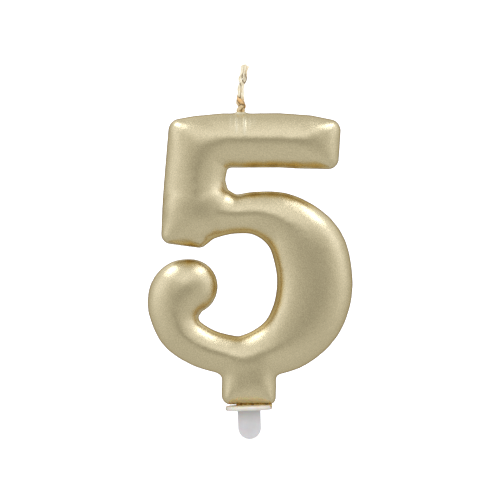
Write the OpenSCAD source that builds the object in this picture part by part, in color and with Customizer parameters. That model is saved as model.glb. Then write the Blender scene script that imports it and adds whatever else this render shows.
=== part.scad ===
// Number candle in the shape of a five: a cast wax core in a gold lacquer skin, with a braided wick,
// standing on a moulded cake pick whose tang slides into a slot in the stem.
// Millimetres, +Z up. The front faces -Y. The origin is the centre of the pick flange's underside,
// where the candle rests on the cake.

/* [Candle body] */
// Largest thickness of the candle, front to back
body_depth = 12; // [10:0.5:14]
// Thickness of the gold lacquer skin
coat_t = 0.3; // [0.2:0.05:0.4]
// Facets round each disc of the stroke
body_facets = 24; // [16:4:24]

/* [Wick] */
// Radius of one strand of the braid
strand_r = 0.35; // [0.25:0.01:0.36]
// Length of one full repeat of the braid
braid_pitch = 7.2; // [6.4:0.1:8]
// Radius of the waxed braid where it is cast inside the candle
core_r = 0.8; // [0.6:0.05:0.9]
// Free length of the wick above its pivot in the collar
wick_free = 11.6; // [8:0.1:15]

/* [Cake pick] */
// Lean of the pick in the stem, in degrees, tip towards +X
pick_lean = 2; // [0:0.5:3]
// Width of the blade that goes into the cake
blade_w = 5.75; // [4:0.25:7]
// Thickness of the blade and the tang
blade_t = 1.25; // [1:0.05:1.6]
// Length of the blade below the flange
blade_len = 7.25; // [6:0.25:20]
// Width of the flange
flange_w = 11.75; // [9:0.25:12]
// Depth of the flange, front to back
flange_d = 7.5; // [6:0.25:8]
// Thickness of the flange
flange_t = 1.2; // [0.8:0.05:1.2]
// Length of the tang above the flange
tang_len = 12.5; // [8:0.5:13]
// Width of the tang across its barbs
tang_w = 4.5; // [3.5:0.1:5]

/* [Hidden] */
EPS = 0.01;

// Gaps between neighbouring pieces
coat_seam = 0.02;
wick_seam = 0.05;
tang_clearance = 0.08;

// The figure is made of discs, each [x, z, radius]. Strokes swell and narrow along a chain of them, and
// webs fill the flatter faces between three or more
upright = [-13, 50.5, 8.75];
waist_low = [-13.6, 56.5, 7.75];
waist_high = [-13.4, 59.5, 7.7];
bar_corner = [-12, 65.9, 7.85];
bar_end = [14.5, 67, 6.8];
tip_low = [19.7, 62.9, 2.8];
tip_high = [20, 69.75, 3];
corner_high = [-17, 69.7, 3.25];
heel = [-19.4, 44, 2.6];
heel_right = [-12.5, 43, 2.5];
bar = [corner_high, bar_corner, [-6, 67.4, 6.9], [7.5, 67.4, 6.9], bar_end];
back = [bar_corner, waist_high, waist_low, upright];
bowl = [upright, [-8, 49.5, 6.25], [-3.5, 49, 5], [2, 49.2, 5.5], [7.5, 47.75, 6.75], [12, 44.5, 8],
        [15, 40, 9.25], [16.25, 34.75, 9.5], [16.25, 29, 9.5], [14.5, 23.25, 9], [10.5, 18, 7.75],
        [5, 14.75, 6.5], [-1, 12.5, 6.25], [-6, 13.85, 5.15], [-12, 15.85, 5.2], [-17, 19.5, 5.5],
        [-18.75, 24.5, 6.25], [-18.1, 28, 7.25], [-16.7, 30.1, 7.4], [-14.7, 30.85, 6.95]];
stem = [[-3.4, 11, 3.5], [2.2, 11, 4.7], [2.4, 6.3, 4.5], [-3.4, 5.4, 3.5], [-4.5, 3.9, 2.4],
        [4.9, 3.4, 1.9]];
webs = [[bar_end, tip_high, tip_low], [corner_high, bar_corner, waist_high],
        [corner_high, waist_high, waist_low], [corner_high, waist_low, heel], [waist_low, upright, heel],
        [upright, heel, heel_right], stem];
widest_disc = 9.5;
bowl_steps = 2;

// A pillow-shaped bead is made of slices at these shares of its half depth, and ends in small tips.
// The two powers set how full its cross-section is: a soft ridge in the middle and rounded shoulders
slice_shares = [-0.82, -0.45, 0, 0.45, 0.82];
ridge_power = 1.3;
shoulder_power = 1.9;
tip_size = 0.1;

// Where the wick leaves the top of the bar: its pivot, the ball cup round it and the collar of lacquer
pivot = [-2.05, 0, 74.9];
cup_r = 1.2;
collar_top_r = 1.45;
collar_base_r = 2.4;
collar_base_z = 74;

// Route of the cast-in wick: in under the pivot, left along the bar, down the back, round the bowl
// and into the foot of the bowl above the tang
wick_route = [[-2.05, 73.85], [-2.1, 70.5], [-4, 68], [-8, 66.5], [-11.5, 64], [-13, 60], [-13.5, 56],
              [-13, 52], [-10, 49.5], [-6, 49.2], [-2, 49], [2, 49.2], [6, 48.2], [10, 46], [13.5, 42.5],
              [15.5, 38.5], [16.25, 34], [16.25, 29.5], [15, 25], [12.5, 20.5], [9, 17.2], [5.5, 15.9]];

// The free braid leans a little to the right towards its frayed top
lean_start = 5;
lean_rate = 0.022;
braid_w = 0.71;
braid_d = 0.64;
braid_rings = 40;
strand_sides = 8;

// Tang and slot
barb_rise = 3;
barb_depth = 0.7;
slot_extra = 0.6;

// Bead of lacquer between the flange and the stem
bead_left = -3.2;
bead_right = 5.3;
bead_d = 4.4;
bead_top = 1.46;

function half_depth(r) = body_depth / 2 * sqrt(r / widest_disc);
function slice_radius(share) = pow(1 - pow(abs(share), shoulder_power), 1 / ridge_power);

// Smooth curve through a list of discs, steps points to a span
function ahead(p, i) = p[min(max(i, 0), len(p) - 1)];
function between(a, b, c, d, t) =
    0.5 * (2 * b + (c - a) * t + (2 * a - 5 * b + 4 * c - d) * t * t + (3 * b - a - 3 * c + d) * t * t * t);
function smooth_chain(p, steps) = [
    for (i = [0:len(p) - 2], k = [0:steps - 1])
        between(ahead(p, i - 1), p[i], p[i + 1], ahead(p, i + 2), k / steps),
    p[len(p) - 1]];

// A pillow-shaped bead of the stroke round one disc, as slices from front to back
module bead(disc, shrink) {
    r = disc[2] - shrink;
    h = half_depth(disc[2]) - shrink;
    for (share = slice_shares) {
        translate([disc[0], share * h, disc[1]]) rotate([90, 0, 0])
            cylinder(h = EPS, r = r * slice_radius(share), center = true, $fn = body_facets);
    }
    for (end = [-1, 1]) {
        translate([disc[0], end * (h - EPS / 2), disc[1]]) cube([tip_size, EPS, tip_size], center = true);
    }
}

module web(discs, shrink) {
    hull() {
        for (disc = discs) {
            bead(disc, shrink);
        }
    }
}

module stroke(chain, shrink) {
    for (i = [0:len(chain) - 2]) {
        web([chain[i], chain[i + 1]], shrink);
    }
}

module figure(shrink) {
    stroke(bar, shrink);
    stroke(back, shrink);
    stroke(smooth_chain(bowl, bowl_steps), shrink);
    for (discs = webs) {
        web(discs, shrink);
    }
}

// Moves what is drawn about the pick's own axis into place under the candle
module on_pick_axis() {
    rotate([0, -pick_lean, 0]) children();
}

module tang_slot() {
    w = tang_w + 2 * tang_clearance;
    t = blade_t + 2 * tang_clearance;
    on_pick_axis()
        translate([-w / 2, -t / 2, -flange_t]) cube([w, t, 2 * flange_t + tang_len + slot_extra]);
}

module wick_cup() {
    translate(pivot) sphere(cup_r, $fn = 32);
}

// A round tube swept along a list of points by one polyhedron, with its rings across the route
function unit(v) = v / norm(v);
function heading(p, i) = unit(ahead(p, i + 1) - ahead(p, i - 1));
function ring_side(d) = unit(cross(d, [0, 1, 0.001]));
function ring(c, d, r, sides) =
    let (u = ring_side(d), v = cross(u, d))
    [for (k = [0:sides - 1]) c + r * (cos(360 * k / sides) * u + sin(360 * k / sides) * v)];

module tube(points, radii, sides) {
    n = len(points);
    verts = [for (i = [0:n - 1]) each ring(points[i], heading(points, i), radii[i], sides)];
    walls = [for (i = [0:n - 2], k = [0:sides - 1])
        let (a = i * sides + k, b = i * sides + (k + 1) % sides)
        each [[a, b, b + sides], [a, b + sides, a + sides]]];
    first_cap = [for (k = [0:sides - 1]) sides - 1 - k];
    last_cap = [for (k = [0:sides - 1]) (n - 1) * sides + k];
    polyhedron(verts, concat([first_cap], walls, [last_cap]));
}

module cast_wick(r) {
    route = smooth_chain([for (p = wick_route) [p[0], 0, p[1]]], 2);
    tube(route, [for (p = route) r], strand_sides);
}

// Centre line of one strand of the three-strand braid at height h above the pivot
function braid_lean(h) = h < lean_start ? 0 : lean_rate * pow(h - lean_start, 2);
function braid_grow(h) = min(1, 0.7 + 0.22 * (h + 1));
function braid_point(h, turn) =
    let (t = 360 * h / braid_pitch + turn, g = braid_grow(h))
    pivot + [braid_lean(h) + g * braid_w * sin(t), g * braid_d * sin(2 * t), h];

module strand(turn) {
    low = -0.8;
    high = wick_free;
    heights = [for (i = [0:braid_rings]) low + (high - low) * i / braid_rings];
    points = [for (h = heights) braid_point(h, turn)];
    radii = [for (h = heights) strand_r * min(1, 0.7 + 0.3 * (h - low))];
    tube(points, radii, strand_sides);
}

module wax_body() {
    color([0.93, 0.88, 0.72]) difference() {
        figure(coat_t);
        cast_wick(core_r + wick_seam);
        wick_cup();
        tang_slot();
    }
}

module gold_coat() {
    color([0.74, 0.69, 0.48]) difference() {
        union() {
            figure(0);
            translate([pivot[0], 0, collar_base_z])
                cylinder(h = pivot[2] - collar_base_z, r1 = collar_base_r, r2 = collar_top_r, $fn = 24);
        }
        figure(coat_t - coat_seam);
        cast_wick(core_r + wick_seam);
        wick_cup();
        tang_slot();
    }
}

module buried_wick() {
    color([0.85, 0.76, 0.55]) cast_wick(core_r);
}

module wick_strand_left() {
    color([0.92, 0.87, 0.7]) strand(0);
}

module wick_strand_middle() {
    color([0.8, 0.58, 0.28]) strand(120);
}

module wick_strand_right() {
    color([0.9, 0.82, 0.6]) strand(240);
}

// Half outline of the tang: a straight strip with barbs whose points face down
module tang_profile() {
    half = tang_w / 2;
    barbs = floor((tang_len - 2) / barb_rise);
    side = [for (i = [0:barbs - 1])
        let (z = 1 + i * barb_rise)
        each [[half - barb_depth, z], [half, z + 0.2], [half - barb_depth, z + barb_rise * 0.7]]];
    tip = [[half - barb_depth, tang_len - 1.2], [half - 2 * barb_depth, tang_len]];
    right = concat([[half - barb_depth, -EPS]], side, tip);
    left = [for (i = [len(right) - 1:-1:0]) [-right[i][0], right[i][1]]];
    polygon(concat(right, left));
}

// One moulding: blade with a rounded tip, oval flange and barbed tang
module cake_pick() {
    round_r = blade_w / 2;
    end_r = flange_d / 2;
    end_x = flange_w / 2 - end_r;
    color([0.9, 0.9, 0.9]) on_pick_axis() {
        translate([-round_r, -blade_t / 2, round_r - blade_len])
            cube([blade_w, blade_t, blade_len - round_r + EPS]);
        translate([0, 0, round_r - blade_len]) rotate([90, 0, 0])
            cylinder(h = blade_t, r = round_r, center = true, $fn = 64);
        translate([-end_x, -end_r, 0]) cube([2 * end_x, flange_d, flange_t]);
        for (x = [-end_x, end_x]) {
            translate([x, 0, 0]) cylinder(h = flange_t, r = end_r, $fn = 64);
        }
        translate([0, blade_t / 2, flange_t]) rotate([90, 0, 0])
            linear_extrude(blade_t) tang_profile();
    }
}

// Lacquer that ran down and set as a wedge on the flange under the stem
module lacquer_bead() {
    color([0.62, 0.46, 0.16]) difference() {
        translate([bead_left, -bead_d / 2, 0]) cube([bead_right - bead_left, bead_d, bead_top]);
        on_pick_axis() translate([-flange_w, -flange_d, -flange_t])
            cube([2 * flange_w, 2 * flange_d, 2 * flange_t + EPS]);
        tang_slot();
    }
}

wax_body();
gold_coat();
buried_wick();
wick_strand_left();
wick_strand_middle();
wick_strand_right();
cake_pick();
lacquer_bead();
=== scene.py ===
"""Looks for the number candle: the gold skin, the braided wick, the cake pick and the set lacquer.

Lengths in the shape code are millimetres in the CAD frame. new_object(), new_triangles() and set_points()
turn them into metres.
"""
import math
import random

import bpy
import numpy as np
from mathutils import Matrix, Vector, noise
from mathutils.bvhtree import BVHTree


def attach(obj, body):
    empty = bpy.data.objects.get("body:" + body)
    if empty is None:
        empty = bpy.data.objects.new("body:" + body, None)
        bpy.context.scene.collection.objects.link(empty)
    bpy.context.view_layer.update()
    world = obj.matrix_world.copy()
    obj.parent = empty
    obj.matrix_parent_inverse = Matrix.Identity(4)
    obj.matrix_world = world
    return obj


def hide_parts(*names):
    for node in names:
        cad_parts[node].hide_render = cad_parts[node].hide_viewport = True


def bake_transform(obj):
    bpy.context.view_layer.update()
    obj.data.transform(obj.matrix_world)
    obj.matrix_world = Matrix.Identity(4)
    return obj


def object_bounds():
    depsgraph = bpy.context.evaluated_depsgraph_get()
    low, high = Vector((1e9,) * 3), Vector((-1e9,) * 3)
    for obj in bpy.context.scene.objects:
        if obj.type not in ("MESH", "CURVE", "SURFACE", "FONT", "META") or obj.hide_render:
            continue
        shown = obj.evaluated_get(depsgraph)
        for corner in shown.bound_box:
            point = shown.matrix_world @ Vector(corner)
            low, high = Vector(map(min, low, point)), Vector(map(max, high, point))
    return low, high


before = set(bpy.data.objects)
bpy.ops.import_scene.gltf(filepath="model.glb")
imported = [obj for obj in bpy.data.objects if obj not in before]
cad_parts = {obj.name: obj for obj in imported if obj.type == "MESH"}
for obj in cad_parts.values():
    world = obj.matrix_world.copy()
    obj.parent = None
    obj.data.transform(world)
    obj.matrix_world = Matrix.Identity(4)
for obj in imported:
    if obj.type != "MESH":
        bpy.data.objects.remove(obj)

CAD_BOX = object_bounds()
MM = 0.001
SEED = 5

# Driving sizes, as in the CAD model
BODY_DEPTH = 12.0
WIDEST_DISC = 9.5
RIDGE_POWER, SHOULDER_POWER = 1.3, 1.9
PICK_LEAN = math.radians(2)
BLADE_W, BLADE_T, BLADE_LEN = 5.75, 1.25, 7.25
FLANGE_W, FLANGE_D, FLANGE_T = 11.75, 7.5, 1.2
TANG_W, TANG_LEN, BARB_RISE, BARB_DEPTH = 4.5, 12.5, 3.0, 0.7
SLOT_EXTRA = 0.6
BEAD_LEFT, BEAD_RIGHT = -3.2, 5.3
PIVOT = np.array([-2.05, 0.0, 74.9])

# Sizes of the looks alone: the clearance of the tang in the skin, the depth of the lacquer bead, and the
# skin's least thickness over the wax
SLOT_CLEARANCE = 0.13
BEAD_DEPTH = 3.2
LEAST_FILM = 0.04

# The bead's lumps: their spacing, and the radii of the lumps, of the even core behind them and of the
# drips over the flange's right end, which lie in rows at an x and z
LUMP_SPACING = 0.3
LUMP_R, CORE_R, DRIP_R = (0.17, 0.25), 0.33, (0.2, 0.27)
FLANGE_DRIPS = [(5.35, 1.3), (5.6, 1.18)]

# The figure is made of discs, each x, z and radius. Strokes swell and narrow along a chain of them, and
# webs fill the flatter faces between three or more. They are the CAD model's, but for the stem's foot,
# which is 0.2 mm lower to make up for what smoothing takes off it
UPRIGHT, WAIST_LOW, WAIST_HIGH = (-13, 50.5, 8.75), (-13.6, 56.5, 7.75), (-13.4, 59.5, 7.7)
BAR_CORNER, BAR_END = (-12, 65.9, 7.85), (14.5, 67, 6.8)
TIP_LOW, TIP_HIGH = (19.7, 62.9, 2.8), (20, 69.75, 3)
CORNER_HIGH, HEEL, HEEL_RIGHT = (-17, 69.7, 3.25), (-19.4, 44, 2.6), (-12.5, 43, 2.5)
BAR = [CORNER_HIGH, BAR_CORNER, (-6, 67.4, 6.9), (7.5, 67.4, 6.9), BAR_END]
BACK = [BAR_CORNER, WAIST_HIGH, WAIST_LOW, UPRIGHT]
BOWL = [UPRIGHT, (-8, 49.5, 6.25), (-3.5, 49, 5), (2, 49.2, 5.5), (7.5, 47.75, 6.75), (12, 44.5, 8),
        (15, 40, 9.25), (16.25, 34.75, 9.5), (16.25, 29, 9.5), (14.5, 23.25, 9), (10.5, 18, 7.75),
        (5, 14.75, 6.5), (-1, 12.5, 6.25), (-6, 13.85, 5.15), (-12, 15.85, 5.2), (-17, 19.5, 5.5),
        (-18.75, 24.5, 6.25), (-18.1, 28, 7.25), (-16.7, 30.1, 7.4), (-14.7, 30.85, 6.95)]
STEM_LEFT, STEM_RIGHT = (-3.4, 5.4, 3.5), (2.4, 6.3, 4.5)
WEBS = [[BAR_END, TIP_HIGH, TIP_LOW], [CORNER_HIGH, BAR_CORNER, WAIST_HIGH],
        [CORNER_HIGH, WAIST_HIGH, WAIST_LOW], [CORNER_HIGH, WAIST_LOW, HEEL], [WAIST_LOW, UPRIGHT, HEEL],
        [UPRIGHT, HEEL, HEEL_RIGHT], [(-3.4, 11, 3.5), (2.2, 11, 4.7), STEM_RIGHT, STEM_LEFT],
        [STEM_LEFT, STEM_RIGHT, (4.9, 3.2, 1.9), (-4.5, 3.7, 2.4)]]
DISC_SIDES, DISC_RINGS = 32, 22

# Between these radii the bowl's discs turn from the soft ridge to a full round
ROUND_FROM, ROUND_TO = 6.5, 9.0

# Places where the face is rounder than the discs make it: x, z and radius, and how much of the height
# that smoothing takes off them is given back
SOFT_SPOTS = [(-14, 66, 8), (18, 66, 7), (-16, 47, 7), (0.5, 8, 7), (-15.5, 30.3, 8)]
HEIGHT_KEPT = 0.8

# Depths between which the sides of the body turn into its front and back faces
FACE_Y = (1.0, 3.5)

# Gaps whose inner faces get a painted reflection, a deeper gold standing in for gold mirrored in gold: x, z
# and how far the effect reaches before it fades
GOLD_REFLECTING_GAPS = [(1, 57.5, 5), (6, 57.5, 5), (11, 58, 5), (17, 58, 6), (-15, 38.5, 7), (-2, 38, 13), (0, 30, 13)]
GAP_FADE = 3

# How squarely a face has to look into a gap for its painted reflection, the reach of the pale ring round the
# wick with its painted highlight, and the depths and heights over which the painted shade along the body's
# sides fades out and in
GAP_FACING, PALE_HIGHLIGHT_RING = (0.55, 1.0), (1.4, 2.2)
SIDE_SHADE_Y, SIDE_SHADE_Z = (0.3, 1.2), (2.5, 4.5)

# Hollow corners filled to a fillet: both sides of the stem, and round the foot of the collar, with the
# distances over which the filling fades
FILLETS = [(-7.0, 9.0), (7.1, 8.8), (-3.8, 74.0), (-0.3, 74.0)]
FILLET_REACH = (1.2, 3.2)

# The collar of lacquer round the wick: radius and height of its outline, from inside the bar upwards
COLLAR = [(0, 72.6), (1.9, 72.8), (1.75, 73.6), (1.5, 74.1), (1.25, 74.45), (1.1, 74.8), (0.95, 75.0),
          (0, 75.05)]

# Runs of lacquer down the bar under the wick: x, half-width, height of the ridge, lowest z. Each fades
# in over a length, and gets a paler colour, a painted highlight, for each millimetre that it stands out
RUNS = [(-4.3, 0.5, 0.07, 69.5), (-3.1, 0.38, 0.12, 68.0), (-2.2, 0.35, 0.08, 69.5),
        (-1.1, 0.4, 0.13, 67.5), (0.1, 0.38, 0.08, 69.5), (1.2, 0.5, 0.06, 70.5)]
RUN_FADE = 2.5
PALE_HIGHLIGHT_PER_MM = 4

# Slow unevenness of a cast body: the height of its swells, and how far the face is set back to fit them
SWELL_HEIGHT, SWELL_SETBACK = 0.05, 0.04

# Each strand of the free wick as points of height, x and y from the wick's own centre line. The one
# soaked in lacquer wraps across the front above the collar, and the cream two run side by side above it
WICK_STRANDS = {
    "soaked": [(-0.8, -0.3, 0.3), (0.0, 0.2, 0.45), (0.8, 0.72, 0.15), (1.35, 0.7, -0.35),
               (2.1, 0.05, -0.66), (2.8, -0.55, -0.42), (3.5, -0.5, 0.25), (5.0, -0.05, 0.5),
               (6.5, 0.3, 0.42), (7.3, 0.6, 0.1), (8.3, 0.66, -0.15), (9.6, 0.52, -0.12),
               (11.2, 0.62, 0.1)],
    "right": [(-0.8, -0.3, -0.2), (0.1, -0.6, -0.35), (1.0, 0.3, -0.6), (1.8, 0.55, -0.05),
              (2.6, 0.5, 0.1), (3.4, 0.34, -0.2), (5.0, 0.35, -0.12), (6.2, 0.32, -0.25),
              (7.0, -0.1, -0.52), (7.8, -0.55, -0.28), (8.8, -0.4, -0.42), (9.8, -0.3, -0.3),
              (11.4, -0.45, -0.1)],
    "left": [(-0.8, 0.3, -0.2), (0.2, 0.6, -0.32), (1.0, -0.2, -0.15), (1.8, -0.66, -0.1),
             (2.6, -0.6, 0.1), (3.4, -0.34, -0.2), (5.0, -0.36, -0.1), (6.0, -0.34, -0.2),
             (6.9, 0.1, -0.1), (7.7, 0.55, -0.3), (8.6, 0.2, -0.45), (9.6, 0.12, -0.3),
             (11.5, 0.15, -0.1)],
}
LEAN_START, LEAN_RATE = 5.4, 0.165

# A strand's radius where strands cross and where they run straight, its steps from one point to the next,
# and the depth of its plies and their turn in one step
STRAND_R, STRAIGHT_R = 0.44, 0.43
STRAND_STEPS = 14
PLY_LOBES, PLY_TURN = 0.42, 0.06

# Heights above the pivot over which a strand thins where it runs straight and thickens again, and over
# which its foot widens and its top narrows, with the share that each of these ends loses
THIN_START, THIN_END = (3.0, 3.8), (5.8, 6.6)
FOOT_TAPER, TOP_TAPER, FOOT_LOSS, TOP_LOSS = (-0.8, 0), (10.4, 11.4), 0.25, 0.45

# Heights over which the wick's colours change: the soaked foot ends, clean cotton begins, the strands come
# to lie side by side, they cross again, and the brush begins
FOOT_END, CLEAN_START, STRAIGHT_START = (2.0, 3.6), (3.0, 4.5), (3.4, 4.0)
STRAIGHT_END, CROSS_START, BRUSH_START = (5.6, 6.4), (5.8, 6.8), (8.6, 9.6)

# Painted shade in the crevices between strands: how far out they are dark at the foot and where strands
# cross again, how much less far elsewhere, how dark they are, and how much less so between straight
# strands and in the brush
CREVICE_REACH, REACH_LESS = 0.34, 0.12
CREVICE_DARK, STRAIGHT_LESS, BRUSH_LESS = 0.95, 0.4, 0.5

# The frayed top: where it starts and ends, the radius it starts with and how far it fans out. Then, for
# the fray and for the stray fibres down the side, how many each strand has, and their radii from foot to tip
FRAY_START, FRAY_TOP = 9.2, 11.55
FRAY_R, FAN_OUT = 0.36, 1.6
FRAY_COUNT, FUZZ_COUNT = 26, 16
FRAY_FIBRE, FUZZ_FIBRE = (0.075, 0.045), (0.03, 0.014)


# ---------------------------------------------------------------- meshes

def new_object(name, verts, faces, material):
    """A smooth mesh object from millimetre vertices and faces of three or four corners."""
    mesh = bpy.data.meshes.new(name)
    mesh.from_pydata((np.asarray(verts, float) * MM).tolist(), [], [list(map(int, f)) for f in faces])
    mesh.validate()
    mesh.polygons.foreach_set("use_smooth", [True] * len(mesh.polygons))
    mesh.materials.append(material)
    obj = bpy.data.objects.new(name, mesh)
    bpy.context.scene.collection.objects.link(obj)
    return obj


def new_triangles(name, verts, faces, material):
    """new_object for a large array of triangles."""
    mesh = bpy.data.meshes.new(name)
    mesh.vertices.add(len(verts))
    mesh.vertices.foreach_set("co", (verts * MM).ravel())
    mesh.loops.add(faces.size)
    mesh.loops.foreach_set("vertex_index", faces.ravel())
    mesh.polygons.add(len(faces))
    mesh.polygons.foreach_set("loop_start", np.arange(len(faces)) * 3)
    mesh.update(calc_edges=True)
    mesh.materials.append(material)
    obj = bpy.data.objects.new(name, mesh)
    bpy.context.scene.collection.objects.link(obj)
    return obj


def apply_modifiers(obj):
    """Replaces the object's mesh with the one that its modifiers make of it."""
    graph = bpy.context.evaluated_depsgraph_get()
    mesh = bpy.data.meshes.new_from_object(obj.evaluated_get(graph))
    obj.modifiers.clear()
    old = obj.data
    obj.data = mesh
    mesh.name = old.name
    bpy.data.meshes.remove(old)


def get_points(obj):
    """The object's vertices in millimetres."""
    co = np.empty(len(obj.data.vertices) * 3)
    obj.data.vertices.foreach_get("co", co)
    return co.reshape(-1, 3) / MM


def set_points(obj, points):
    """Moves the object's vertices to places in millimetres."""
    obj.data.vertices.foreach_set("co", (points * MM).ravel())
    obj.data.update()


def get_normals(obj):
    """The direction that the surface faces at each vertex."""
    normals = np.empty(len(obj.data.vertices) * 3)
    obj.data.vertices.foreach_get("normal", normals)
    return normals.reshape(-1, 3)


def store_values(obj, **layers):
    """Stores one number per vertex under each layer's name, for the materials to read."""
    for name, values in layers.items():
        store = obj.data.attributes.new(name, "FLOAT", "POINT")
        store.data.foreach_set("value", values.astype(np.float32))


def join_shapes(shapes):
    """One array of vertices and one of faces from several pairs of them."""
    verts, faces, count = [], [], 0
    for v, f in shapes:
        verts.append(np.asarray(v, float))
        faces.append(np.asarray(f, int) + count)
        count += len(v)
    return np.vstack(verts), np.vstack(faces)


# How far one smoothing step moves a vertex towards its neighbours, and how far the next swells it back
SHRINK, SWELL = 0.5, -0.52


def relax(obj, passes, swell=SWELL, where=None):
    """Evens out the surface without shrinking it: each pass smooths, then swells back. where is a
    weight for each vertex; with swell at 0, creases round off and hollow corners fill to a fillet."""
    edges = np.empty(len(obj.data.edges) * 2, int)
    obj.data.edges.foreach_get("vertices", edges)
    edges = edges.reshape(-1, 2)
    points = get_points(obj)
    share = np.ones(len(points)) if where is None else where
    edges = edges[share[edges].max(1) > 0]
    used, local = np.unique(edges, return_inverse=True)
    a, b = local.reshape(-1, 2).T
    moved, share, count = points[used], share[used][:, None], len(used)
    degree = (np.bincount(a, minlength=count) + np.bincount(b, minlength=count))[:, None]
    for _ in range(passes):
        for weight in (SHRINK, swell):
            if weight:
                total = np.stack([np.bincount(a, moved[b, k], count) + np.bincount(b, moved[a, k], count)
                                  for k in range(3)], 1)
                moved += weight * share * (total / degree - moved)
    points[used] = moved
    set_points(obj, points)


def voxel_union(obj, voxel):
    """Joins overlapping closed shapes into one even skin."""
    remesh = obj.modifiers.new("union", "REMESH")
    remesh.mode = "VOXEL"
    remesh.voxel_size = voxel * MM
    apply_modifiers(obj)
    obj.data.polygons.foreach_set("use_smooth", [True] * len(obj.data.polygons))


def smoothstep(low, high, x):
    """0 below low and 1 above high, with a smooth rise between them."""
    t = np.clip((x - low) / (high - low), 0, 1)
    return t * t * (3 - 2 * t)


def curve_through(points, steps):
    """Catmull-Rom curve through a list of points."""
    p = np.array(points, float)
    out = []
    for i in range(len(p) - 1):
        a, b, c, d = p[max(i - 1, 0)], p[i], p[i + 1], p[min(i + 2, len(p) - 1)]
        for t in np.arange(steps) / steps:
            out.append(0.5 * (2 * b + (c - a) * t + (2 * a - 5 * b + 4 * c - d) * t * t
                              + (3 * b - a - 3 * c + d) * t ** 3))
    return np.array(out + [p[-1]])


def ring(radius, sides):
    """Points round a circle, as two columns."""
    a = 2 * np.pi * np.arange(sides) / sides
    return radius * np.cos(a), radius * np.sin(a)


def closed_rings(rings, first, last):
    """A closed surface over a stack of rings of equally many points, with a point at either end. The
    rings run anticlockwise as seen from the last end."""
    count, sides = len(rings), len(rings[0])
    verts = np.vstack([*rings, [first], [last]])
    tail, low_tip, high_tip = (count - 1) * sides, count * sides, count * sides + 1
    faces = []
    for k in range(sides):
        m = (k + 1) % sides
        faces += [(low_tip, m, k), (high_tip, tail + k, tail + m)]
        for start in range(0, tail, sides):
            a, b = start + k, start + m
            faces += [(a, b, a + sides), (b, b + sides, a + sides)]
    return verts, np.array(faces)


def pillow(sides, levels, ridge=2.0, shoulder=2.0):
    """A unit disc in XZ that swells front and back: a ball, or a fuller or sharper shape."""
    rings = []
    for a in np.pi * np.arange(1, levels) / levels:
        radius = math.sin(a)
        y = math.copysign((1 - radius ** ridge) ** (1 / shoulder), math.cos(a))
        x, z = ring(radius, sides)
        rings.append(np.stack([x, np.full(sides, y), z], 1))
    return closed_rings(rings, (0, 1, 0), (0, -1, 0))


def lathe(outline, centre, sides):
    """A closed solid turned about a vertical line, from its outline's radii and heights."""
    rings = []
    for radius, z in outline[1:-1]:
        x, y = ring(radius, sides)
        rings.append(np.stack([centre[0] + x, centre[1] + y, np.full(sides, z)], 1))
    return closed_rings(rings, (*centre, outline[0][1]), (*centre, outline[-1][1]))


def prism(outline, low, high):
    """A closed solid from a convex outline in XZ, between two depths."""
    count = len(outline)
    verts = [(x, y, z) for y in (low, high) for x, z in outline]
    fan = range(1, count - 1)
    faces = [(0, k, k + 1) for k in fan] + [(count, count + k + 1, count + k) for k in fan]
    for k in range(count):
        m = (k + 1) % count
        faces += [(k, count + k, m), (m, count + k, count + m)]
    return np.array(verts), np.array(faces)


def box_shape(low, high):
    """A closed box between two corners."""
    outline = [(low[0], low[2]), (high[0], low[2]), (high[0], high[2]), (low[0], high[2])]
    return prism(outline, low[1], high[1])


# ---------------------------------------------------------------- the gold skin

def half_depth(radius):
    """Half the body's thickness at a disc: wide strokes are thicker."""
    return BODY_DEPTH / 2 * np.sqrt(radius / WIDEST_DISC)


def discs_along(chain, spacing):
    """Discs at even steps along the straight runs between the chain's own discs."""
    p = np.array(chain, float)
    out = []
    for a, b in zip(p[:-1], p[1:]):
        steps = max(1, math.ceil(np.linalg.norm(b[:2] - a[:2]) / spacing))
        out += [a + (b - a) * k / steps for k in range(steps)]
    return out + [p[-1]]


def discs_over(web, spacing):
    """Discs spread over the triangles of a fan."""
    p = np.array(web, float)
    out = []
    for b, c in zip(p[1:-1] - p[0], p[2:] - p[0]):
        steps = math.ceil(max(np.linalg.norm(b[:2]), np.linalg.norm(c[:2])) / spacing)
        out += [p[0] + b * i / steps + c * j / steps for i in range(steps + 1) for j in range(steps + 1 - i)]
    return out


def stamped(discs, fullness):
    """One pillow for each disc. It has a soft ridge, or with fullness 1, a full round where it is wide."""
    ridged, shape_faces = pillow(DISC_SIDES, DISC_RINGS, RIDGE_POWER, SHOULDER_POWER)
    full, _ = pillow(DISC_SIDES, DISC_RINGS)
    d = np.array(discs)
    roundness = fullness * smoothstep(ROUND_FROM, ROUND_TO, d[:, 2])[:, None, None]
    shape = ridged * (1 - roundness) + full * roundness
    scale = np.stack([d[:, 2], half_depth(d[:, 2]), d[:, 2]], 1)
    centre = np.stack([d[:, 0], np.zeros(len(d)), d[:, 1]], 1)
    verts = (centre[:, None] + shape * scale[:, None]).reshape(-1, 3)
    faces = (shape_faces[None] + (np.arange(len(d)) * len(ridged))[:, None, None]).reshape(-1, 3)
    return verts, faces


def spot_weight(points, x, z, inner, outer):
    """1 within the inner distance of a spot in XZ, falling to 0 at the outer."""
    return 1 - smoothstep(inner, outer, np.hypot(points[:, 0] - x, points[:, 2] - z))


def round_off(skin, x, z, radius, passes, face):
    """Smooths one spot of the face into a dome, which keeps most of the height that smoothing takes."""
    before = get_points(skin)
    near = face * spot_weight(before, x, z, 0.5 * radius, radius)
    relax(skin, passes, swell=0, where=near)
    after = get_points(skin)
    drop = np.abs(before[:, 1]) - np.abs(after[:, 1])
    after[:, 1] += HEIGHT_KEPT * drop.max() * near * np.sign(after[:, 1])
    set_points(skin, after)


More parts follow.
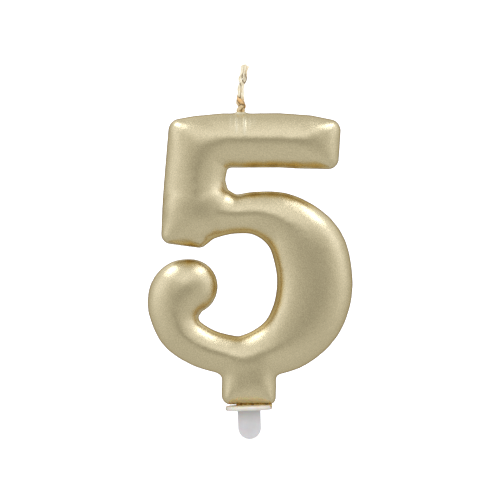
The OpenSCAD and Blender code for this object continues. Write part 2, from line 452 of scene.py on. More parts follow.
def keep_over_wax(skin):
    """Lifts any point of the front and back that lies closer than the film's least thickness to the wax."""
    face_y, search = 2.0, 0.5
    graph = bpy.context.evaluated_depsgraph_get()
    wax = BVHTree.FromObject(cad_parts["wax_body"], graph)
    p = get_points(skin)
    for i in np.flatnonzero(np.abs(p[:, 1]) > face_y):
        point = Vector(p[i] * MM)
        foot, normal, _, _ = wax.find_nearest(point, search * MM)
        if foot is not None and (point - foot).dot(normal) < LEAST_FILM * MM:
            p[i] = np.array(foot + normal * LEAST_FILM * MM) / MM
    set_points(skin, p)


def pour_marks(skin):
    """Runs of lacquer under the wick, and the slow unevenness of a cast body."""
    p, n = get_points(skin), get_normals(skin)
    rise = np.zeros(len(p))
    for x, half, height, low in RUNS:
        rise += height * along_run(p, x, half, low)
    uneven = np.array([noise.noise(Vector(q) * 0.16) + 0.4 * noise.noise(Vector(q) * 0.5) for q in p])
    set_points(skin, p + n * (rise - SWELL_SETBACK + SWELL_HEIGHT * uneven)[:, None])


def along_run(p, x, half, low):
    """How much each point belongs to one run of lacquer down the front of the bar."""
    across = np.exp(-((p[:, 0] - x) / half) ** 2)
    return across * smoothstep(low, low + RUN_FADE, p[:, 2]) * smoothstep(1.0, 3.0, -p[:, 1])


def mark_lacquer(skin):
    """Stores painted colour: deeper gold on faces that look into a gap, a painted reflection of gold in gold;
    painted shade along the body's sides; and paler gold round the wick and on the runs below it, where
    the lacquer is thin and a highlight is painted."""
    p, n = get_points(skin), get_normals(skin)
    # Painted reflection: faces that look squarely into a gap get a deeper gold
    inner = np.zeros(len(p))
    for x, z, reach in GOLD_REFLECTING_GAPS:
        gap = np.stack([x - p[:, 0], z - p[:, 2]], 1)
        distance = np.linalg.norm(gap, axis=1)
        facing = (n[:, 0] * gap[:, 0] + n[:, 2] * gap[:, 1]) / distance
        within = 1 - smoothstep(reach, reach + GAP_FADE, distance)
        inner = np.maximum(inner, smoothstep(*GAP_FACING, facing) * within)
    # Paler gold: thin lacquer with a painted highlight round the wick, and a painted highlight on the runs
    # that grows with their height
    pale = 0.9 * (1 - smoothstep(*PALE_HIGHLIGHT_RING, np.linalg.norm(p - PIVOT, axis=1)))
    for x, half, height, low in RUNS:
        pale = np.maximum(pale, PALE_HIGHLIGHT_PER_MM * height * along_run(p, x, half, low))
    # Painted shade: darker brown gold along the body's sides, fading out round the wick, on the runs and at
    # the stem's foot
    seam = (1 - smoothstep(*SIDE_SHADE_Y, np.abs(p[:, 1]))) * (1 - pale) * smoothstep(*SIDE_SHADE_Z, p[:, 2])
    store_values(skin, inner=inner, seam=seam, pale=pale)


def on_pick_axis(points):
    """Turns points drawn about the pick's own axis into place in the stem."""
    p = np.asarray(points, float)
    c, s = math.cos(PICK_LEAN), math.sin(PICK_LEAN)
    return np.stack([p[:, 0] * c - p[:, 2] * s, p[:, 1], p[:, 0] * s + p[:, 2] * c], 1)


def cut_slot(skin, material):
    """Opens the skin where the tang goes up into the stem."""
    half_w, half_t = TANG_W / 2 + SLOT_CLEARANCE, BLADE_T / 2 + SLOT_CLEARANCE
    top = FLANGE_T + TANG_LEN + SLOT_EXTRA
    verts, faces = box_shape((-half_w, -half_t, -FLANGE_T), (half_w, half_t, top))
    cutter = new_object("slot_cutter", on_pick_axis(verts), faces, material)
    cut = skin.modifiers.new("slot", "BOOLEAN")
    cut.object = cutter
    cut.solver = "EXACT"
    apply_modifiers(skin)
    bpy.data.objects.remove(cutter)


def make_skin(material):
    """The whole figure: discs stamped along its strokes, joined, smoothed, marked and slotted."""
    spacing, voxel, passes = ((0.5, 0.26, 24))
    discs = discs_along(BAR, spacing) + discs_along(BACK, spacing)
    for web in WEBS:
        discs += discs_over(web, 2 * spacing)
    bowl = discs_along(curve_through(BOWL, 6), spacing)
    verts, faces = join_shapes([stamped(discs, 0), stamped(bowl, 1), lathe(COLLAR, PIVOT[:2], 32)])
    skin = new_triangles("gold_skin", verts, faces, material)
    voxel_union(skin, voxel)
    relax(skin, passes)
    p = get_points(skin)
    face = smoothstep(*FACE_Y, np.abs(p[:, 1]))
    relax(skin, passes, swell=0, where=face)
    for spot in SOFT_SPOTS:
        round_off(skin, *spot, 10 * passes, face)
    for x, z in FILLETS:
        relax(skin, passes, swell=0, where=spot_weight(p, x, z, *FILLET_REACH))
    pour_marks(skin)
    keep_over_wax(skin)
    cut_slot(skin, material)
    mark_lacquer(skin)
    return skin


# ---------------------------------------------------------------- the wick

def wick_lean(h):
    """How far the wick's centre line has moved to the right at a height above the pivot."""
    over = np.maximum(0, np.asarray(h) - LEAN_START)
    return LEAN_RATE * over * smoothstep(0, 1.5, over)


def strand_path(knots):
    """Centre line of a strand, in place on the candle, with its heights above the pivot."""
    p = curve_through(knots, STRAND_STEPS)
    h = p[:, 0]
    return np.stack([PIVOT[0] + p[:, 1] + wick_lean(h), p[:, 2], PIVOT[2] + h], 1), h


def strand_radius(h):
    """A little thinner where the strands run straight, and narrowing at both ends."""
    straight = smoothstep(*THIN_START, h) * (1 - smoothstep(*THIN_END, h))
    foot = 1 - FOOT_LOSS + FOOT_LOSS * smoothstep(*FOOT_TAPER, h)
    ends = foot * (1 - TOP_LOSS * smoothstep(*TOP_TAPER, h))
    return (STRAND_R + (STRAIGHT_R - STRAND_R) * straight) * ends


def frames_along(path):
    """Two directions across the path at each of its points."""
    along = np.gradient(path, axis=0)
    along /= np.linalg.norm(along, axis=1)[:, None]
    v = np.cross(along, (1, 0, 0))
    v /= np.linalg.norm(v, axis=1)[:, None]
    return np.cross(v, along), v


def sweep(path, radius, sides, lobes=0.0, turn=0.0):
    """A closed tube along a path. lobes deepens three plies, which turn as they rise."""
    mean_cosine = 0.64
    u, v = frames_along(path)
    a = 2 * np.pi * np.arange(sides) / sides
    rings = []
    for i, (centre, r) in enumerate(zip(path, radius)):
        ply = r * (1 + lobes * (np.abs(np.cos(1.5 * (a - turn * i))) - mean_cosine))
        rings.append(centre + ply[:, None] * (np.cos(a)[:, None] * u[i] + np.sin(a)[:, None] * v[i]))
    return closed_rings(rings, path[0], path[-1])


def fray(knots, rng, count):
    """Loose fibres that fan out at the top of one strand, shorter towards the right."""
    path, h = strand_path(knots)
    start = int(np.argmax(h > FRAY_START))
    shapes = []
    for _ in range(count):
        a, r = rng.uniform(0, 2 * math.pi), FRAY_R * math.sqrt(rng.random())
        foot = path[start] + (r * math.cos(a), r * math.sin(a), 0)
        fan = r * math.cos(a) * FAN_OUT + rng.uniform(-0.32, 0.3)
        top = FRAY_TOP - 0.45 * max(0, fan + 0.2) - rng.uniform(0, 0.9)
        mid = path[-1] + (0.5 * fan - 0.1, 0.6 * r * math.sin(a), 0)
        tip = path[-1] + (fan, FAN_OUT * r * math.sin(a), 0)
        mid[2] = PIVOT[2] + 0.5 * (FRAY_START + top) + 0.3
        tip[2] = PIVOT[2] + top
        line = curve_through([foot, mid, tip], 4)
        shapes.append(sweep(line, np.linspace(*FRAY_FIBRE, len(line)), 5))
    return shapes


def fuzz(path, radius, rng, count):
    """Short stray fibres that stand off the side of a strand."""
    u, v = frames_along(path)
    shapes = []
    for _ in range(count):
        i = rng.randrange(10, len(path) - 20)
        a = rng.uniform(0, 2 * math.pi)
        out = math.cos(a) * u[i] + math.sin(a) * v[i]
        foot = path[i] + 0.85 * radius[i] * out
        along = rng.uniform(0.25, 0.6) * rng.choice((-1, 1))
        tip = foot + rng.uniform(0.15, 0.32) * out + (0, 0, along)
        mid = 0.5 * (foot + tip) + 0.06 * out
        line = curve_through([foot, mid, tip], 3)
        shapes.append(sweep(line, np.linspace(*FUZZ_FIBRE, len(line)), 4))
    return shapes


def mark_strand(obj, others, soaked_through):
    """Stores how deep each vertex lies between this strand and the others, for the painted shade in the
    crevices, how far lacquer has soaked up into it, and how clean it is above that."""
    p = get_points(obj)
    gap = np.full(len(p), 9.0)
    for path, radius in others:
        for block in np.array_split(np.arange(len(p)), 40):
            d = np.linalg.norm(p[block, None] - path[None], axis=2) - radius[None]
            gap[block] = np.minimum(gap[block], d.min(1))
    height = p[:, 2] - PIVOT[2]
    foot = 1 - smoothstep(*FOOT_END, height)
    side_by_side = smoothstep(*STRAIGHT_START, height) * (1 - smoothstep(*STRAIGHT_END, height))
    brush = smoothstep(*BRUSH_START, height)
    crossing = smoothstep(*CROSS_START, height) * (1 - brush)
    reach = CREVICE_REACH - REACH_LESS * (1 - foot) * (1 - crossing)
    darkest = CREVICE_DARK - STRAIGHT_LESS * side_by_side - BRUSH_LESS * brush
    # Painted shade: darker the nearer a vertex lies to another strand
    crevice = darkest * (1 - smoothstep(0.0, 1.0, gap / reach))
    soak = (0.35 if soaked_through else 0.7) * foot
    faded = 0.8 * smoothstep(*CLEAN_START, height)
    store_values(obj, crevice=crevice, soak=soak, faded=faded)


def make_wick(materials):
    """One piece for each strand, with its frayed top and stray fibres."""
    rng = random.Random(SEED)
    tubes = {}
    for name, knots in WICK_STRANDS.items():
        path, h = strand_path(knots)
        tubes[name] = (path, strand_radius(h))
    made = {}
    for name, (path, radius) in tubes.items():
        shapes = [sweep(path, radius, 24, PLY_LOBES, PLY_TURN)]
        shapes += fray(WICK_STRANDS[name], rng, FRAY_COUNT)
        shapes += fuzz(path, radius, rng, FUZZ_COUNT)
        verts, faces = join_shapes(shapes)
        made[name] = new_object("wick_" + name, verts, faces, materials[name])
        others = [tube for other, tube in tubes.items() if other != name]
        mark_strand(made[name], others, name == "soaked")
    return made


# ---------------------------------------------------------------- the pick and the set lacquer

def arc(centre, radius, start, end, count):
    """Points along an arc, between two angles in degrees."""
    return [(centre[0] + radius * math.cos(a), centre[1] + radius * math.sin(a))
            for a in np.linspace(math.radians(start), math.radians(end), count)]


def flange_shape():
    """The oval flange, with rounded edges."""
    end_r = FLANGE_D / 2
    end_x = FLANGE_W / 2 - end_r
    edge = FLANGE_T / 2
    softness = 0.55
    rings = []
    for a in np.linspace(0, math.pi, 9):
        r = end_r - edge * softness * (1 - math.sin(a))
        z = edge - edge * math.cos(a)
        oval = arc((end_x, 0), r, -90, 90, 20) + arc((-end_x, 0), r, 90, 270, 20)
        rings.append([(x, y, z) for x, y in oval])
    return closed_rings(rings, (0, 0, 0), (0, 0, FLANGE_T))


def make_pick(material):
    """Blade, flange and barbed tang as one soft-edged moulding."""
    r, t = BLADE_W / 2, BLADE_T / 2
    blade = [(r, FLANGE_T / 2)] + arc((0, r - BLADE_LEN), r, 0, -180, 32) + [(-r, FLANGE_T / 2)]
    core, tip, tip_h = TANG_W / 2 - BARB_DEPTH, TANG_W / 2 - 2 * BARB_DEPTH, 1.2
    low, high = 0.5, FLANGE_T + TANG_LEN
    tang = [(-core, low), (core, low), (core, high - tip_h), (tip, high), (-tip, high), (-core, high - tip_h)]
    shapes = [flange_shape(), prism(blade[::-1], -t, t), prism(tang, -t, t)]
    root, barb_h = core - 0.4, 0.7 * BARB_RISE
    for i in range(int((TANG_LEN - 2) // BARB_RISE)):
        z = FLANGE_T + 1 + i * BARB_RISE
        for side in (-1, 1):
            barb = [(side * root, z), (side * core, z), (side * TANG_W / 2, z + 0.2),
                    (side * core, z + barb_h), (side * root, z + barb_h)]
            shapes.append(prism(barb[::side], -t, t))
    verts, faces = join_shapes(shapes)
    pick = new_triangles("moulded_pick", on_pick_axis(verts), faces, material)
    voxel_union(pick, 0.1)
    relax(pick, 9)
    return pick


def make_bead(material):
    """Lumps of lacquer squeezed out between the stem and the flange, some over the flange's right end."""
    rng = random.Random(SEED + 1)
    lumps = []
    for x in np.arange(BEAD_LEFT + LUMP_SPACING, BEAD_RIGHT + LUMP_SPACING, LUMP_SPACING):
        thin = 1 - smoothstep(BEAD_RIGHT - 3, BEAD_RIGHT, x) * 0.2
        floor = FLANGE_T + x * math.tan(PICK_LEAN)
        for y in np.arange(-BEAD_DEPTH / 2 + 0.5, BEAD_DEPTH / 2 - 0.4, 0.35):
            r = rng.uniform(*LUMP_R) * thin
            lumps.append((x + rng.uniform(-0.1, 0.1), y * rng.uniform(0.85, 1.0), floor + 0.4 * r, r))
        lumps += [(x, y, floor + 0.26, CORE_R * thin) for y in (-0.5, 0, 0.5)]
    for y in np.arange(-1.7, 1.8, 0.4):
        for x, z in FLANGE_DRIPS:
            lumps.append((x, y + rng.uniform(-0.1, 0.1), z, rng.uniform(*DRIP_R)))
    ball, ball_faces = pillow(12, 8)
    verts, faces = join_shapes([(ball * r + (x, y, z), ball_faces) for x, y, z, r in lumps])
    bead = new_triangles("set_lacquer", verts, faces, material)
    voxel_union(bead, 0.09)
    relax(bead, 4)
    return bead


# ---------------------------------------------------------------- materials

# Gold lacquer: its flakes, its tint at grazing angles, and its colours where it is thin with a painted
# highlight, pooled or deep, with the painted shade along the body's sides and the tints of painted reflection
# in gaps
GOLD_DARK, GOLD_LIGHT, GOLD_EDGE = (0.70, 0.605, 0.36), (0.90, 0.78, 0.477), (0.62, 0.46, 0.22)
THIN_GOLD_HIGHLIGHT, SIDE_SHADE_GOLD, RIM_GOLD = (1.0, 0.93, 0.66), (0.45, 0.31, 0.12), (0.62, 0.45, 0.17)
NO_TINT, WARM_REFLECTION_TINT, DEEP_REFLECTION_TINT = (1, 1, 1), (1, 0.90, 0.62), (0.66, 0.53, 0.30)
POOL_BROWN, POOL_AMBER, POOL_GOLD = (0.30, 0.15, 0.03), (0.66, 0.45, 0.12), (0.85, 0.70, 0.33)

# Cotton: clean, greyed, soaked in lacquer, stained, and painted shade in the crevices
CREAM, CREAM_SHADE, GREY_COTTON = (1.0, 0.95, 0.74), (0.66, 0.52, 0.28), (0.90, 0.84, 0.64)
SOAKED_COTTON, SOAK_TAN, AMBER = (0.95, 0.72, 0.40), (0.62, 0.44, 0.20), (0.80, 0.42, 0.12)
CREAM_STAIN, GREY_STAIN, CREVICE_SHADE_UMBER = (0.85, 0.62, 0.30), (0.72, 0.50, 0.22), (0.15, 0.08, 0.02)
CAST_COTTON, CAST_STAIN = (0.84, 0.77, 0.6), (0.7, 0.6, 0.4)

# How dark the gaps between fibres are, as a share of the cotton's colour
FIBRE_SHADE = (0.66, 0.55, 0.38)

# Painted glow: the cotton gives off light, as a share of its colour, in place of light through it from behind
PAINTED_FIBRE_GLOW = 0.15

# Plastic, the thin lacquer over the flange, wax and paper, each as two stops of a ramp
PLASTIC = [(0.35, (0.76, 0.755, 0.75)), (0.65, (0.80, 0.80, 0.80))]
FLANGE_CREAM = [(0.4, (0.88, 0.84, 0.70)), (0.62, (0.92, 0.90, 0.83))]
WAX = [(0.35, (0.88, 0.82, 0.66)), (0.65, (0.94, 0.90, 0.78))]
PAPER = [(0.3, (0.88, 0.88, 0.88)), (0.7, (0.92, 0.92, 0.92))]


def new_material(name):
    """A material, its node tree and its shader."""
    material = bpy.data.materials.new(name)
    material.use_nodes = True
    tree = material.node_tree
    return material, tree, tree.nodes["Principled BSDF"]


def object_mm(tree, scale=(1, 1, 1)):
    """Object coordinates in millimetres, stretched by scale."""
    coord = tree.nodes.new("ShaderNodeTexCoord")
    mapping = tree.nodes.new("ShaderNodeMapping")
    mapping.inputs["Scale"].default_value = [s / MM for s in scale]
    tree.links.new(coord.outputs["Object"], mapping.inputs["Vector"])
    return mapping.outputs["Vector"]


def noise_node(tree, vector, scale, detail, roughness=0.5):
    """Noise from 0 to 1, with scale in features per millimetre."""
    node = tree.nodes.new("ShaderNodeTexNoise")
    node.inputs["Scale"].default_value = scale
    node.inputs["Detail"].default_value = detail
    node.inputs["Roughness"].default_value = roughness
    tree.links.new(vector, node.inputs["Vector"])
    return node.outputs["Fac"]


def ramp_node(tree, factor, stops):
    """Blends through colours, each a stop of position and colour."""
    node = tree.nodes.new("ShaderNodeValToRGB")
    ramp = node.color_ramp
    while len(ramp.elements) < len(stops):
        ramp.elements.new(0.5)
    for element, (position, colour) in zip(ramp.elements, stops):
        element.position = position
        element.color = (*colour, 1)
    tree.links.new(factor, node.inputs["Fac"])
    return node.outputs["Color"]


def range_node(tree, value, low, high, to_low, to_high):
    """Maps low..high onto to_low..to_high, and holds the value at both ends."""
    node = tree.nodes.new("ShaderNodeMapRange")
    for socket, number in zip(("From Min", "From Max", "To Min", "To Max"), (low, high, to_low, to_high)):
        node.inputs[socket].default_value = number
    tree.links.new(value, node.inputs["Value"])
    return node.outputs["Result"]


def math_node(tree, operation, a, b=None):
    """One operation on one or two inputs, each a socket or a number."""
    node = tree.nodes.new("ShaderNodeMath")
    node.operation = operation
    for socket, value in zip(node.inputs, (a, b)):
        if isinstance(value, (int, float)):
            socket.default_value = value
        elif value is not None:
            tree.links.new(value, socket)
    return node.outputs[0]


def attribute_node(tree, name):
    """A number stored on the mesh by store_values()."""
    node = tree.nodes.new("ShaderNodeAttribute")
    node.attribute_name = name
    return node.outputs["Fac"]


def mix_node(tree, factor, first, second, blend="MIX"):
    """Mixes two colours, each a socket or a tuple."""
    node = tree.nodes.new("ShaderNodeMix")
    node.data_type = "RGBA"
    node.blend_type = blend
    colours = [s for s in node.inputs if s.type == "RGBA"]
    factor_socket = [s for s in node.inputs if s.type == "VALUE"][0]
    if isinstance(factor, (int, float)):
        factor_socket.default_value = factor
    else:
        tree.links.new(factor, factor_socket)
    for socket, value in zip(colours, (first, second)):
        if isinstance(value, tuple):
            socket.default_value = (*value, 1)
        else:
            tree.links.new(value, socket)
    return [s for s in node.outputs if s.type == "RGBA"][0]


def bump_node(tree, height, distance_mm, normal=None):
    """Bumps of the given height in millimetres, over another node's bumps if normal is given."""
    node = tree.nodes.new("ShaderNodeBump")
    node.inputs["Distance"].default_value = distance_mm * MM
    node.inputs["Strength"].default_value = 1.0
    tree.links.new(height, node.inputs["Height"])
    if normal is not None:
        tree.links.new(normal, node.inputs["Normal"])
    return node.outputs["Normal"]


def gold_material():
    """Satin pale gold lacquer: metal flake under a thin clear coat. Grain and flakes are fine, ripples
    show at arm's length, and the roughness drifts over about a centimetre."""
    material, tree, shader = new_material("satin_gold_lacquer")
    shader.inputs["Metallic"].default_value = 1.0
    shader.inputs["Specular Tint"].default_value = (*GOLD_EDGE, 1)
    shader.inputs["Coat Weight"].default_value = 0.5
    shader.inputs["Coat Roughness"].default_value = 0.3
    mm = object_mm(tree)
    grain = noise_node(tree, mm, 3.4, 2.0, 0.7)
    drift = noise_node(tree, mm, 0.12, 2.0)
    colour = ramp_node(tree, grain, [(0.3, GOLD_DARK), (0.7, GOLD_LIGHT)])
    # Painted reflection: faces that look into a gap turn a warmer, deeper gold, as gold mirrored in gold
    inner = ramp_node(tree, attribute_node(tree, "inner"),
                      [(0.0, NO_TINT), (0.45, WARM_REFLECTION_TINT), (1.0, DEEP_REFLECTION_TINT)])
    colour = mix_node(tree, 1.0, colour, inner, "MULTIPLY")
    # Paler gold round the wick and on the runs: thin lacquer and a painted highlight
    colour = mix_node(tree, attribute_node(tree, "pale"), colour, THIN_GOLD_HIGHLIGHT)
    # Painted shade along the body's sides, in a darker brown gold
    seam = math_node(tree, "MULTIPLY", attribute_node(tree, "seam"), 0.6)
    colour = mix_node(tree, seam, colour, SIDE_SHADE_GOLD)
    tree.links.new(colour, shader.inputs["Base Color"])
    tree.links.new(range_node(tree, drift, 0.3, 0.7, 0.21, 0.27), shader.inputs["Roughness"])
    flake = noise_node(tree, mm, 4.2, 2.0, 0.7)
    ripple = noise_node(tree, mm, 0.6, 1.0)
    soft = bump_node(tree, ripple, 0.03)
    tree.links.new(bump_node(tree, flake, 0.030, normal=soft), shader.inputs["Normal"])
    return material


def fibre_material(name, pale, stained, stain_low, stain_high):
    """Waxed cotton: fine fibres along the strand, uneven staining, painted shade in the crevices and a
    painted glow.
    """
    material, tree, shader = new_material(name)
    mm = object_mm(tree)
    fibres = noise_node(tree, object_mm(tree, (9, 9, 1.6)), 1.0, 3.0, 0.6)
    patch = noise_node(tree, mm, 0.95, 2.0)
    shade = tuple(colour * share for colour, share in zip(pale, FIBRE_SHADE))
    colour = ramp_node(tree, fibres, [(0.32, shade), (0.6, pale)])
    stain = range_node(tree, patch, stain_low, stain_high, 0.0, 1.0)
    colour = mix_node(tree, stain, colour, stained)
    clean = ramp_node(tree, fibres, [(0.32, CREAM_SHADE), (0.6, CREAM)])
    # The painted shade in the crevices is mixed in last, in umber
    for layer, over in (("faded", clean), ("soak", SOAK_TAN), ("crevice", CREVICE_SHADE_UMBER)):
        colour = mix_node(tree, attribute_node(tree, layer), colour, over)
    tree.links.new(colour, shader.inputs["Base Color"])
    # Painted glow: the cotton gives off light in its own colour
    tree.links.new(colour, shader.inputs["Emission Color"])
    shader.inputs["Emission Strength"].default_value = PAINTED_FIBRE_GLOW
    tree.links.new(range_node(tree, fibres, 0.3, 0.7, 0.35, 0.6), shader.inputs["Roughness"])
    tree.links.new(bump_node(tree, fibres, 0.05), shader.inputs["Normal"])
    return material


def pick_material():
    """White moulded plastic, with pale lacquer on the flange that thickens to gold at its edges."""
    material, tree, shader = new_material("moulded_white_plastic")
    mm = object_mm(tree)
    split = tree.nodes.new("ShaderNodeSeparateXYZ")
    tree.links.new(mm, split.inputs[0])
    cloud = noise_node(tree, mm, 0.5, 2.0)
    plastic = ramp_node(tree, cloud, PLASTIC)
    patch = noise_node(tree, mm, 0.8, 3.0)
    cream = ramp_node(tree, patch, FLANGE_CREAM)
    across = math_node(tree, "ABSOLUTE", split.outputs["X"])
    end = range_node(tree, across, 5.2, 5.8, 0.0, 0.8)
    tilt = math_node(tree, "MULTIPLY", split.outputs["X"], math.tan(PICK_LEAN))
    height = math_node(tree, "SUBTRACT", split.outputs["Z"], tilt)
    rising = range_node(tree, height, FLANGE_T - 0.28, FLANGE_T - 0.1, 0.0, 0.7)
    falling = range_node(tree, height, FLANGE_T - 0.07, FLANGE_T - 0.01, 1.0, 0.3)
    upper = math_node(tree, "MULTIPLY", rising, falling)
    gilded = math_node(tree, "MAXIMUM", end, upper)
    lacquer = mix_node(tree, gilded, cream, RIM_GOLD)
    ragged = math_node(tree, "ADD", height, math_node(tree, "MULTIPLY", patch, 0.3))
    mask = range_node(tree, ragged, 0.0, 0.15, 0.0, 1.0)
    tree.links.new(mix_node(tree, mask, plastic, lacquer), shader.inputs["Base Color"])
    tree.links.new(range_node(tree, patch, 0.3, 0.7, 0.3, 0.42), shader.inputs["Roughness"])
    shader.inputs["Subsurface Weight"].default_value = 0.25
    shader.inputs["Subsurface Scale"].default_value = 0.8 * MM
    tree.links.new(bump_node(tree, cloud, 0.03), shader.inputs["Normal"])
    return material


def bead_material():
    """Thick glossy lacquer, gold where it is thin and brown where it pooled."""
    material, tree, shader = new_material("pooled_gold_lacquer")
    mm = object_mm(tree)
    shader.inputs["Metallic"].default_value = 0.75
    shader.inputs["Coat Weight"].default_value = 0.6
    shader.inputs["Coat Roughness"].default_value = 0.1
    pool = noise_node(tree, mm, 1.3, 3.0)
    colour = ramp_node(tree, pool, [(0.35, POOL_BROWN), (0.5, POOL_AMBER), (0.7, POOL_GOLD)])
    tree.links.new(colour, shader.inputs["Base Color"])
    tree.links.new(range_node(tree, pool, 0.3, 0.7, 0.16, 0.3), shader.inputs["Roughness"])
    dimples = noise_node(tree, mm, 6.0, 2.0)
    tree.links.new(bump_node(tree, dimples, 0.03), shader.inputs["Normal"])
    return material


def wax_material():
    """Cast paraffin: warm white, matt and a little translucent."""
    material, tree, shader = new_material("cast_paraffin_wax")
    mm = object_mm(tree)
    cloud = noise_node(tree, mm, 0.4, 3.0)
    tree.links.new(ramp_node(tree, cloud, WAX), shader.inputs["Base Color"])
    tree.links.new(range_node(tree, cloud, 0.3, 0.7, 0.45, 0.6), shader.inputs["Roughness"])
    shader.inputs["Subsurface Weight"].default_value = 0.3
    shader.inputs["Subsurface Scale"].default_value = 1.5 * MM
    skin_marks = noise_node(tree, mm, 2.5, 3.0)
    tree.links.new(bump_node(tree, skin_marks, 0.04), shader.inputs["Normal"])
    return material


def paper_material():
    """White sweep, lit from below like a light table so that it reads as plain white."""
    material, tree, shader = new_material("white_sweep")
    tooth = noise_node(tree, object_mm(tree), 0.8, 3.0)
    tree.links.new(ramp_node(tree, tooth, PAPER), shader.inputs["Base Color"])
    shader.inputs["Roughness"].default_value = 0.8
    shader.inputs["Emission Color"].default_value = (1, 1, 1, 1)
    shader.inputs["Emission Strength"].default_value = 0.8
    return material


# ---------------------------------------------------------------- stage, lights, camera

# The camera looks straight at the front, and the lamps are aimed at the middle of the candle; in metres
VIEW_WIDTH, VIEW_DISTANCE = 0.125, 0.6
CAMERA_X, MIDDLE_Z = 0.00025, 0.040

# The sweep in millimetres: its gap under the blade, its bend, its front edge and half-width, and its wall
SWEEP_GAP, SWEEP_BEND = 0.02, 300.0
SWEEP_FRONT, SWEEP_HALF_WIDTH = -1500.0, 2500.0
WALL_Y, WALL_TOP = 900.0, 2500.0

# Lamps: direction from the candle, side in metres, power in watts. The fill lights cotton and plastic,
# and the lacquer doesn't mirror it
LAMP_DISTANCE = 0.55
COOL, WARM = (0.95, 1.0, 1.22), (1.0, 0.97, 0.93)
SOFTBOXES = [((-0.52, -0.2, 0.83), 0.2, 0.26, COOL), ((0.5, -0.28, 0.82), 0.2, 0.26, COOL)]
FILL = ((0, -0.9, 0.4), 0.5, 0.9, WARM)

# Dim parts of the studio are a little warmer than the bright cards
DIM_TINT, BRIGHT_TINT = (0.80, 0.79, 0.75), (0.78, 0.80, 0.92)

# The rest of the studio: where each card or flag stands, how tight it is, and what it adds to the even part
EVEN_GLOW = 0.72
STUDIO = {
    "card over the camera": ((0, -0.8, 0.6), 20, 0.6),
    "low front card": ((0.1, -0.7, -0.7), 12, 0.1),
    "left wall": ((-0.95, -0.3, 0), 12, 0.3),
    "right wall": ((0.95, -0.3, 0), 12, 0.25),
    "high left card": ((-0.85, -0.3, 0.4), 20, 0.4),
    "high right card": ((0.85, -0.3, 0.45), 20, 0.5),
    "spill of the left softbox": ((-0.5, -0.35, 0.8), 12, 0.45),
    "spill of the right softbox": ((0.5, -0.4, 0.75), 12, 0.45),
    "gap between the softboxes": ((0, -0.2, 0.95), 25, -0.1),
    "card behind, top left": ((-0.45, 0.5, 0.75), 12, 0.5),
    "card behind, top right": ((0.6, 0.3, 0.7), 12, 0.3),
    "dark camera side": ((0.1, -1, 0.05), 7, -0.24),
    "dark behind the sweep": ((0, 1, 0), 4, -0.28),
}


def world_light():
    """The studio around the candle, darker behind it. The camera itself sees plain white."""
    world = bpy.data.worlds.new("studio")
    bpy.context.scene.world = world
    world.use_nodes = True
    tree = world.node_tree
    tree.nodes.clear()
    coord = tree.nodes.new("ShaderNodeTexCoord")
    total = EVEN_GLOW
    for direction, tightness, strength in STUDIO.values():
        dot = tree.nodes.new("ShaderNodeVectorMath")
        dot.operation = "DOT_PRODUCT"
        tree.links.new(coord.outputs["Generated"], dot.inputs[0])
        dot.inputs[1].default_value = Vector(direction).normalized()
        away = math_node(tree, "SUBTRACT", dot.outputs["Value"], 1.0)
        fall = math_node(tree, "EXPONENT", math_node(tree, "MULTIPLY", away, tightness))
        total = math_node(tree, "ADD", total, math_node(tree, "MULTIPLY", fall, strength))
    soft = tree.nodes.new("ShaderNodeBackground")
    tree.links.new(total, soft.inputs["Strength"])
    brightness = range_node(tree, total, 0.4, 1.4, 0.0, 1.0)
    tree.links.new(mix_node(tree, brightness, DIM_TINT, BRIGHT_TINT), soft.inputs["Color"])
    white = tree.nodes.new("ShaderNodeBackground")
    white.inputs["Color"].default_value = (1, 1, 1, 1)
    path = tree.nodes.new("ShaderNodeLightPath")
    mix = tree.nodes.new("ShaderNodeMixShader")
    tree.links.new(path.outputs["Is Camera Ray"], mix.inputs["Fac"])
    tree.links.new(soft.outputs[0], mix.inputs[1])
    tree.links.new(white.outputs[0], mix.inputs[2])
    out = tree.nodes.new("ShaderNodeOutputWorld")
    tree.links.new(mix.outputs[0], out.inputs["Surface"])


def add_lamp(name, direction, size, energy, colour):
    """A square lamp that stands in the given direction from the candle and faces it."""
    light = bpy.data.lights.new(name, "AREA")
    light.shape = "SQUARE"
    light.size = size
    light.energy = energy
    light.color = colour
    lamp = bpy.data.objects.new(name, light)
    aim = Vector(direction).normalized()
    lamp.location = Vector((0, 0, MIDDLE_Z)) + aim * LAMP_DISTANCE
    lamp.rotation_euler = (-aim).to_track_quat("-Z", "Y").to_euler()
    bpy.context.scene.collection.objects.link(lamp)
    return lamp


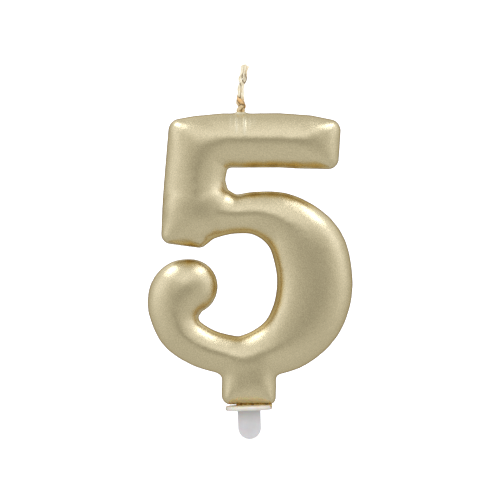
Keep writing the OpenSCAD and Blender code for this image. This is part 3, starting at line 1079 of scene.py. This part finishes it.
def studio():
    """A pale floor that curves up behind the candle, two softboxes over its shoulders and a fill."""
    bpy.context.scene.view_settings.view_transform = "Standard"
    floor_z = CAD_BOX[0][2] / MM - SWEEP_GAP
    bend_y = WALL_Y - SWEEP_BEND
    line = [(SWEEP_FRONT, floor_z)]
    line += [(bend_y + SWEEP_BEND * math.sin(a), floor_z + SWEEP_BEND * (1 - math.cos(a)))
             for a in np.linspace(0, math.pi / 2, 13)]
    line.append((WALL_Y, WALL_TOP))
    verts = [(x, y, z) for y, z in line for x in (-SWEEP_HALF_WIDTH, SWEEP_HALF_WIDTH)]
    faces = [(2 * i, 2 * i + 1, 2 * i + 3, 2 * i + 2) for i in range(len(line) - 1)]
    floor = new_object("floor", verts, faces, paper_material())
    floor.visible_glossy = False
    floor.visible_diffuse = False
    for softbox in SOFTBOXES:
        add_lamp("softbox", *softbox)
    add_lamp("fill", *FILL).visible_glossy = False


def camera():
    """A long lens level with the middle of the candle."""
    data = bpy.data.cameras.new("camera")
    data.sensor_width = 36
    data.lens = data.sensor_width * VIEW_DISTANCE / VIEW_WIDTH
    obj = bpy.data.objects.new("camera", data)
    obj.location = (CAMERA_X, -VIEW_DISTANCE, MIDDLE_Z)
    obj.rotation_euler = (math.pi / 2, 0, 0)
    bpy.context.scene.collection.objects.link(obj)
    bpy.context.scene.camera = obj


# ---------------------------------------------------------------- assembly

def dress_node(node, material):
    """Gives a CAD node that stays its material."""
    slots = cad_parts[node].data.materials
    slots.clear()
    slots.append(material)


skin = make_skin(gold_material())
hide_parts("gold_coat")
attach(skin, "candle")

# What each strand of the wick stands for: its CAD node and its material slot
WICK_ROWS = {
    "soaked": ("wick_strand_middle", "gold_strand"),
    "right": ("wick_strand_right", "cream_strand"),
    "left": ("wick_strand_left", "cream_strand"),
}
wick = make_wick({
    "soaked": fibre_material("lacquer_soaked_cotton", SOAKED_COTTON, AMBER, 0.40, 0.58),
    "right": fibre_material("waxed_cream_cotton", CREAM, CREAM_STAIN, 0.54, 0.68),
    "left": fibre_material("waxed_grey_cotton", GREY_COTTON, GREY_STAIN, 0.5, 0.66)})
for name, (node, slot) in WICK_ROWS.items():
    strand = wick[name]
    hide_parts(node)
    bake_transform(strand)

pick = make_pick(pick_material())
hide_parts("cake_pick")
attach(pick, "pick")

bead = make_bead(bead_material())
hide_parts("lacquer_bead")
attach(bead, "pick")

dress_node("wax_body", wax_material())
dress_node("buried_wick", fibre_material("cast_in_braid", CAST_COTTON, CAST_STAIN, 0.5, 0.7))

world_light()
studio()
camera()
